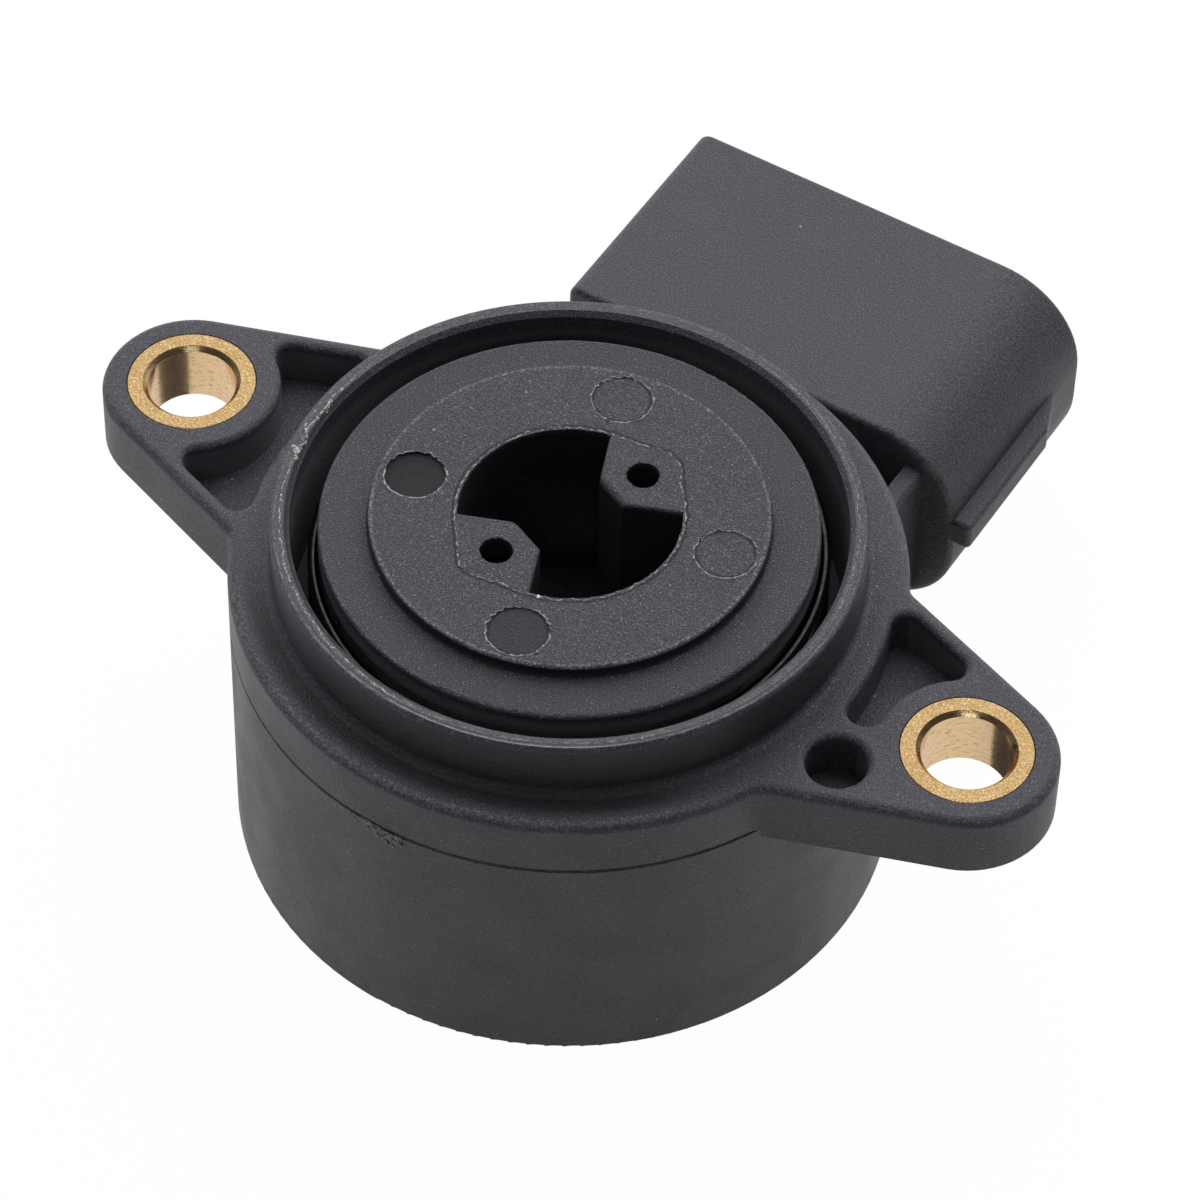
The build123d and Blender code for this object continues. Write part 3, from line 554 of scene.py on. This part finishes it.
def turned_brass():
    """Bright pitted brass, with turning lines and tool marks in each screw hole."""
    material, tree, shader, place = start_material("turned_brass")
    parts = add(tree, "ShaderNodeSeparateXYZ", {"Vector": place}).outputs
    sideways = compute(tree, "SUBTRACT", compute(tree, "ABSOLUTE", parts["X"]), bush_place)
    flat = add(tree, "ShaderNodeCombineXYZ", {"X": sideways, "Y": parts["Y"]})
    radius = measure(tree, "LENGTH", flat.outputs[0])
    in_bore = ramp(tree, radius, bush_bore_radius + 0.32 * mm, bush_bore_radius + 0.04 * mm)

    tarnish = cloud(tree, place, 1400.0, 5.0, 0.7)
    colour = blend(tree, ramp(tree, tarnish, 0.35, 0.7), brass_light, brass_dark)
    pits = cloud(tree, place, 8000.0, 2.0, 0.7)
    spots = times(tree, ramp(tree, pits, 0.53, 0.66), 0.7)
    colour = blend(tree, spots, colour, brass_spot)
    glints = times(tree, ramp(tree, pits, 0.46, 0.34), 0.9)
    colour = blend(tree, glints, colour, brass_glint)
    # A brighter, warmer brass in the bores, which paints in part of their reflection
    colour = blend(tree, times(tree, in_bore, 0.8), colour, brass_bore)
    way_round = times(tree, compute(tree, "ARCTAN2", parts["Y"], sideways), bush_bore_radius)
    unrolled = add(tree, "ShaderNodeCombineXYZ", {"X": way_round, "Y": times(tree, parts["Z"], 7.0)})
    tool_marks = cloud(tree, unrolled.outputs[0], 1800.0, 3.0)
    dashes = times(tree, ramp(tree, tool_marks, 0.57, 0.66, 0.0, 0.85), in_bore)
    colour = blend(tree, dashes, colour, brass_tool_mark)

    dull = ramp(tree, pits, *noise_spread, 0.22, 0.44)
    polish = ramp(tree, in_bore, 0.0, 1.0, 1.0, 0.6)
    turning = stripes(tree, compute(tree, "ADD", radius, parts["Z"]), 14000.0, 3.0)
    lines = times(tree, turning, ramp(tree, in_bore, 0.0, 1.0, 0.4, 1.0))
    blasted = times(tree, pits, ramp(tree, in_bore, 0.0, 1.0, 4.0, 0.7))
    fill(tree, shader, {
        "Base Color": colour,
        "Metallic": 1.0,
        "Roughness": times(tree, dull, polish),
        "Normal": bump_normal(tree, compute(tree, "ADD", lines, blasted), 0.3, 0.01 * mm),
    })
    return material


def plain_metal(name, light, dark, roughness, stretch):
    """Rolled or drawn metal with faint streaks, which are finer the more a way is stretched."""
    material, tree, shader, place = start_material(name)
    drawn = add(tree, "ShaderNodeMapping", {"Vector": place, "Scale": stretch})
    streaks = cloud(tree, drawn.outputs["Vector"], 3000.0, 4.0, 0.6)
    shade = ramp(tree, streaks, 0.35, 0.65)
    fill(tree, shader, {
        "Base Color": blend(tree, shade, light, dark),
        "Metallic": 1.0,
        "Roughness": ramp(tree, shade, 0.0, 1.0, *roughness),
        "Normal": bump_normal(tree, streaks, 0.12, 0.01 * mm),
    })
    return material


def printed_film(name, light, dark, roughness, metallic):
    """A printed film with the fine mesh marks of its screen."""
    material, tree, shader, place = start_material(name)
    mesh_marks = add(tree, "ShaderNodeTexVoronoi", {
        "Vector": place,
        "Scale": 5000.0,
        "Randomness": 0.35,
    })
    patches = cloud(tree, place, 900.0, 3.0)
    fill(tree, shader, {
        "Base Color": blend(tree, ramp(tree, patches, 0.35, 0.65), light, dark),
        "Metallic": metallic,
        "Roughness": ramp(tree, patches, *noise_spread, *roughness),
        "Normal": bump_normal(tree, mesh_marks.outputs["Distance"], 0.15, 0.01 * mm),
    })
    return material


def board_laminate(light, dark):
    """Laminate with a faint woven glass under its skin."""
    material, tree, shader, place = start_material("board_laminate")
    threads = {"Vector": place, "Scale": 900.0, "Distortion": 0.6}
    across = add(tree, "ShaderNodeTexWave", threads, bands_direction="X")
    along = add(tree, "ShaderNodeTexWave", threads, bands_direction="Y")
    weave = times(tree, across.outputs["Fac"], along.outputs["Fac"])
    fill(tree, shader, {
        "Base Color": blend(tree, weave, dark, light),
        "Roughness": ramp(tree, weave, 0.0, 1.0, 0.42, 0.5),
        "Normal": bump_normal(tree, weave, 0.1, 0.01 * mm),
    })
    return material


def torn_plastic(name, dark, light):
    """Thin torn plastic, paler than the skin."""
    material, tree, shader, place = start_material(name)
    torn = cloud(tree, place, 2600.0, 3.0, 0.7)
    fill(tree, shader, {
        "Base Color": blend(tree, ramp(tree, torn, 0.38, 0.62), dark, light),
        "Roughness": ramp(tree, torn, *noise_spread, 0.4, 0.55),
        "Normal": bump_normal(tree, torn, 0.3, 0.02 * mm),
    })
    return material


def crumb_plastic():
    """A matt white crumb."""
    material, tree, shader, place = start_material("pale_crumb")
    patches = cloud(tree, place, 9000.0)
    fill(tree, shader, {"Base Color": blend(tree, patches, crumb_grey, crumb_white), "Roughness": 0.6})
    return material


flange_plastic = moulded_plastic(
    "flange_plastic", grain=10500.0, contrast=0.8, speckle=0.5, bump=0.4,
    wear_and_painted_light=(paint_hollow_light, top_edge_wear_and_light, wear_rim_lines, rim_flecks_and_shade),
)
can_plastic = moulded_plastic(
    "can_plastic", grain=9500.0, contrast=0.8, speckle=0.22, bump=0.4,
    wear_and_painted_light=(wear_can,),
)
rotor_plastic = moulded_plastic(
    "rotor_plastic", grain=11500.0, contrast=1.0, speckle=0.8, bump=0.7,
    wear_and_painted_light=(step_wear_and_light, marks_and_shadows, socket_and_shadow),
)
brass = turned_brass()
spring_steel = plain_metal(
    "spring_steel", light=(0.08, 0.078, 0.074, 1.0), dark=(0.05, 0.049, 0.047, 1.0),
    roughness=(0.15, 0.26), stretch=(1.0, 1.0, 4.0),
)
washer_steel = plain_metal(
    "washer_steel", light=(0.62, 0.62, 0.62, 1.0), dark=(0.5, 0.5, 0.5, 1.0),
    roughness=(0.3, 0.42), stretch=(1.0, 3.0, 1.0),
)
wiper_bronze = plain_metal(
    "wiper_bronze", light=(0.7, 0.48, 0.26, 1.0), dark=(0.58, 0.38, 0.2, 1.0),
    roughness=(0.28, 0.4), stretch=(4.0, 0.4, 1.0),
)
tinned_brass = plain_metal(
    "tinned_brass", light=(0.74, 0.72, 0.67, 1.0), dark=(0.62, 0.6, 0.55, 1.0),
    roughness=(0.26, 0.4), stretch=(3.0, 0.3, 1.0),
)
solder = plain_metal(
    "solder", light=(0.72, 0.72, 0.72, 1.0), dark=(0.58, 0.58, 0.58, 1.0),
    roughness=(0.22, 0.36), stretch=(1.0, 1.0, 1.0),
)
silver_film = printed_film(
    "silver_film", light=(0.72, 0.71, 0.67, 1.0), dark=(0.6, 0.59, 0.55, 1.0),
    roughness=(0.34, 0.46), metallic=1.0,
)
carbon_film = printed_film(
    "carbon_film", light=(0.022, 0.022, 0.022, 1.0), dark=(0.03, 0.03, 0.03, 1.0),
    roughness=(0.44, 0.56), metallic=0.0,
)
laminate = board_laminate(light=(0.74, 0.67, 0.48, 1.0), dark=(0.63, 0.55, 0.36, 1.0))
flash_plastic = torn_plastic("flash_plastic", dark=charcoal_light, light=flash_pale)
burr_plastic = torn_plastic("torn_burr", dark=black_and_painted_shade, light=burr_grey)

finishes = {
    "mounting_flange": flange_plastic,
    "sensor_can": can_plastic,
    "rotor": rotor_plastic,
    "wiper_carrier": rotor_plastic,
    "left_bush": brass,
    "right_bush": brass,
    "return_spring": spring_steel,
    "thrust_washer": washer_steel,
    "throttle_wiper": wiper_bronze,
    "idle_wiper": wiper_bronze,
    "track_board": laminate,
    "resistor_track": carbon_film,
    "collector_track": silver_film,
    "idle_contact": silver_film,
    "solder_joints": solder,
    "terminal_1": tinned_brass,
    "terminal_2": tinned_brass,
    "terminal_3": tinned_brass,
    "terminal_4": tinned_brass,
}
for name, finish in finishes.items():
    nodes[name].data.materials.clear()
    nodes[name].data.materials.append(finish)


# Small pieces that the mould and handling have left
def keep_piece(name, shape, material, body):
    """Closes a shape and makes it an object with its finish, which rides on a body where one is named."""
    weld_distance = 1e-7
    bmesh.ops.remove_doubles(shape, verts=shape.verts, dist=weld_distance)
    bmesh.ops.recalc_face_normals(shape, faces=shape.faces)
    mesh = bpy.data.meshes.new(name)
    shape.to_mesh(mesh)
    shape.free()
    mesh.shade_smooth()
    mesh.materials.append(material)
    piece = bpy.data.objects.new(name, mesh)
    bpy.context.scene.collection.objects.link(piece)
    if body:
        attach(piece, body)
    return piece


def bead(radius, width, height, level, steps):
    """A thin closed bead round the axis, with its feet sunk a little below a level."""
    shape = bmesh.new()
    sink = 0.03 * mm
    profile = [
        shape.verts.new((radius - width / 2, 0, level - sink)),
        shape.verts.new((radius, 0, level + height)),
        shape.verts.new((radius + width / 2, 0, level - sink)),
    ]
    loop = [shape.edges.new((profile[place], profile[(place + 1) % 3])) for place in range(3)]
    bmesh.ops.spin(
        shape, geom=profile + loop, cent=(0, 0, 0), axis=(0, 0, 1),
        angle=math.tau, steps=steps, use_merge=True,
    )
    return shape


def angle_apart(first, second):
    """The angle between two ways, in degrees."""
    return abs((first - second + 180) % 360 - 180)


def make_socket_flash(material):
    """The wavy line of flash round the drive socket, which runs out round the two bosses."""
    wave_reach, ripple_reach, rise = 0.14 * mm, 0.1 * mm, 0.09 * mm
    shape = bead(flash_radius, flash_width, 0.05 * mm, plateau_top, 720)
    for vert in shape.verts:
        angle = math.degrees(math.atan2(vert.co.y, vert.co.x))
        nearest = min(angle_apart(angle, boss) for boss in boss_angles)
        bulge = flash_bulge * math.exp(-(nearest / flash_bulge_reach) ** 2)
        way = Vector(flat_way(angle))
        wave = noise.noise(way * 9.0)
        ripple = noise.turbulence((way + Vector((0, 0, 1))) * 22.0, 3, False)
        reach = 1 + (bulge + wave_reach * wave + ripple_reach * ripple) / flash_radius
        vert.co.x *= reach
        vert.co.y *= reach
        if vert.co.z > plateau_top:
            vert.co.z = plateau_top + rise * max(-0.25, 0.15 + ripple)
    keep_piece("socket_flash", shape, material, "rotor_group")


def make_ragged_rims(name, radius, distance, angles, width, rise, material):
    """Ragged rims round circles on the plateau, at one distance from the axis and at several angles."""
    rims = bmesh.new()
    raggedness = 0.09 * mm
    for number, angle in enumerate(angles):
        shape = bead(radius, width, 0.04 * mm, plateau_top, 240)
        for vert in shape.verts:
            way = math.atan2(vert.co.y, vert.co.x)
            spot = Vector((math.cos(way) * 6, math.sin(way) * 6, 3.0 * number))
            ragged = noise.turbulence(spot, 3, False)
            reach = 1 + raggedness * ragged / radius
            vert.co.x *= reach
            vert.co.y *= reach
            if vert.co.z > plateau_top:
                vert.co.z = plateau_top + rise * max(-0.25, 0.1 + 1.6 * ragged)
        centre = Matrix.Rotation(math.radians(angle), 3, "Z") @ Vector((distance, 0, 0))
        bmesh.ops.translate(shape, verts=shape.verts, vec=centre)
        kept = bpy.data.meshes.new("rim")
        shape.to_mesh(kept)
        shape.free()
        rims.from_mesh(kept)
        bpy.data.meshes.remove(kept)
    keep_piece(name, rims, material, "rotor_group")


def make_seam_burr(material):
    """A torn strip of flash that hangs from the seam and is thickest at its right end."""
    shape = bmesh.new()
    first_angle, last_angle = 263.2, 273.2
    lumps = 100
    flatness = 0.4
    for number in range(lumps):
        share = number / (lumps - 1)
        uneven = abs(noise.noise(Vector((number * 1.7, 0.3, 0))))
        size = 0.11 * mm + 0.05 * mm * share + 0.1 * mm * uneven
        depth = 0.3 * mm + 0.5 * mm * share
        drop = depth * (0.1 + 1.9 * abs(noise.noise(Vector((number * 3.1, 2.1, 0.4)))))
        made = bmesh.ops.create_icosphere(shape, subdivisions=2, radius=size)
        for vert in made["verts"]:
            lump = noise.noise(vert.co * 9000 + Vector((number, 0, 0)))
            vert.co *= 1 + 0.6 * lump
            vert.co.x *= flatness
        angle = first_angle + (last_angle - first_angle) * share
        turn = Matrix.Rotation(math.radians(angle), 4, "Z")
        place = Matrix.Translation((can_radius, 0, seam_height - 0.05 * mm - drop))
        bmesh.ops.transform(shape, matrix=turn @ place, verts=made["verts"])
    keep_piece("seam_burr", shape, material, "housing")


def make_pale_crumb(material):
    """One white crumb caught on the socket's edge."""
    crumb_angle, crumb_distance, crumb_size = 285.8, 6.52 * mm, 0.1 * mm
    shape = bmesh.new()
    bmesh.ops.create_icosphere(shape, subdivisions=3, radius=crumb_size)
    for vert in shape.verts:
        vert.co *= 1 + 0.45 * noise.noise(vert.co * 12000)
        vert.co.x *= 1.3
        vert.co.z *= 0.35
    turn = Matrix.Rotation(math.radians(crumb_angle), 4, "Z")
    place = Matrix.Translation((crumb_distance, 0, plateau_top))
    bmesh.ops.transform(shape, matrix=turn @ place, verts=shape.verts)
    keep_piece("pale_crumb", shape, material, "rotor_group")


def make_return_spring(material):
    """The return spring as a piece of its own in place of the part's spring, kept where it is with its
    lower leg in the flange.
    """
    shape = bmesh.new()
    shape.from_mesh(nodes["return_spring"].data)
    spring = keep_piece("wound_return_spring", shape, material, None)
    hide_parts("return_spring")
    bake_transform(spring)


make_return_spring(spring_steel)
make_socket_flash(flash_plastic)
make_ragged_rims(
    "ejector_mark_rims", mark_radius, mark_distance, mark_angles,
    width=0.16 * mm, rise=0.1 * mm, material=flash_plastic,
)
make_ragged_rims(
    "boss_hole_rims", boss_hole_radius, boss_hole_distance, boss_angles,
    width=0.18 * mm, rise=0.04 * mm, material=rotor_plastic,
)
make_seam_burr(burr_plastic)
make_pale_crumb(crumb_plastic())


# Floor, light and camera
white = (1.0, 1.0, 1.0, 1.0)
floor_grey = (0.5, 0.5, 0.5, 1.0)
dim_room = 0.055
white_screen = 1.0


def seen_rays(tree, mirrored):
    """One for rays from the camera or through a clear surface, and a share for mirrored rays."""
    path = add(tree, "ShaderNodeLightPath").outputs
    direct = compute(tree, "MAXIMUM", path["Is Camera Ray"], path["Is Transmission Ray"])
    return compute(tree, "MAXIMUM", direct, times(tree, path["Is Glossy Ray"], mirrored))


def make_floor():
    """A pale floor that looks white to the camera and keeps a soft shadow."""
    shape = bmesh.new()
    bmesh.ops.create_circle(shape, cap_ends=True, segments=96, radius=2.0)
    mesh = bpy.data.meshes.new("floor")
    shape.to_mesh(mesh)
    shape.free()
    floor = bpy.data.objects.new("floor", mesh)
    bpy.context.scene.collection.objects.link(floor)
    material, tree, shader, _ = start_material("pale_floor")
    tree.nodes.remove(shader)
    matte = add(tree, "ShaderNodeBsdfDiffuse", {"Color": floor_grey})
    glow = add(tree, "ShaderNodeEmission", {"Color": white, "Strength": 1.03})
    both = add(tree, "ShaderNodeMixShader", {
        0: times(tree, seen_rays(tree, 0.65), 0.95),
        1: matte.outputs[0],
        2: glow.outputs[0],
    })
    fill(tree, tree.nodes["Material Output"], {"Surface": both.outputs[0]})
    mesh.materials.append(material)


def make_world():
    """A white surround, which the part mirrors as a dim room with a white screen above its back."""
    world = bpy.data.worlds.new("studio")
    world.use_nodes = True
    tree = world.node_tree
    way = add(tree, "ShaderNodeTexCoord").outputs["Generated"]
    towards_back = measure(tree, "DOT_PRODUCT", way, (-0.35, 0.6, 0.72))
    mirrored = ramp(tree, towards_back, 0.3, 0.7, dim_room, white_screen)
    strength = compute(tree, "MAXIMUM", seen_rays(tree, mirrored), dim_room)
    fill(tree, tree.nodes["Background"], {"Color": white, "Strength": strength})
    bpy.context.scene.world = world


def soft_light(name, place, width, height, power, mirrored=False):
    """A soft box that faces the part's middle."""
    lamp = bpy.data.lights.new(name, "AREA")
    lamp.shape = "RECTANGLE"
    lamp.size = width
    lamp.size_y = height
    lamp.energy = power
    holder = bpy.data.objects.new(name, lamp)
    holder.visible_glossy = mirrored
    way = Vector((0, 0, 12 * mm)) - Vector(place)
    turn = way.to_track_quat("-Z", "Y").to_matrix().to_4x4()
    holder.matrix_world = Matrix.Translation(place) @ turn
    bpy.context.scene.collection.objects.link(holder)


def make_camera():
    """The photograph's own viewpoint, with its slight roll."""
    azimuth = math.radians(30.259)
    elevation = math.radians(49.381)
    roll = math.radians(1.624)
    aim = Vector((-0.583 * mm, 4.628 * mm, 12.0 * mm))
    distance = 326.219 * mm
    back = Vector((
        math.sin(azimuth) * math.cos(elevation),
        -math.cos(azimuth) * math.cos(elevation),
        math.sin(elevation),
    ))
    level_right = (-back).cross(Vector((0, 0, 1))).normalized()
    level_up = level_right.cross(-back)
    right = math.cos(roll) * level_right + math.sin(roll) * level_up
    up = math.cos(roll) * level_up - math.sin(roll) * level_right
    camera = bpy.data.objects.new("camera", bpy.data.cameras.new("camera"))
    camera.data.sensor_width = 36.0
    camera.data.lens = 166.644
    camera.data.clip_start = 0.01
    turn = Matrix((right, up, back)).transposed().to_4x4()
    camera.matrix_world = Matrix.Translation(aim + back * distance) @ turn
    bpy.context.scene.collection.objects.link(camera)
    bpy.context.scene.camera = camera


make_floor()
make_world()
soft_light("overhead", (-0.1, 0.38, 0.56), width=1.0, height=0.8, power=5.0)
soft_light("back", (-0.35, 0.6, 0.35), width=1.2, height=0.6, power=2.0)
soft_light("left_side", (-0.55, -0.15, 0.25), width=0.5, height=0.5, power=0.9)
soft_light("right_side", (0.3, 0.6, 0.25), width=0.5, height=0.5, power=0.4)
soft_light("small_window", (0.25, -0.43, 0.42), width=0.25, height=0.08, power=0.15, mirrored=True)
make_camera()
bpy.context.scene.view_settings.view_transform = "Standard"
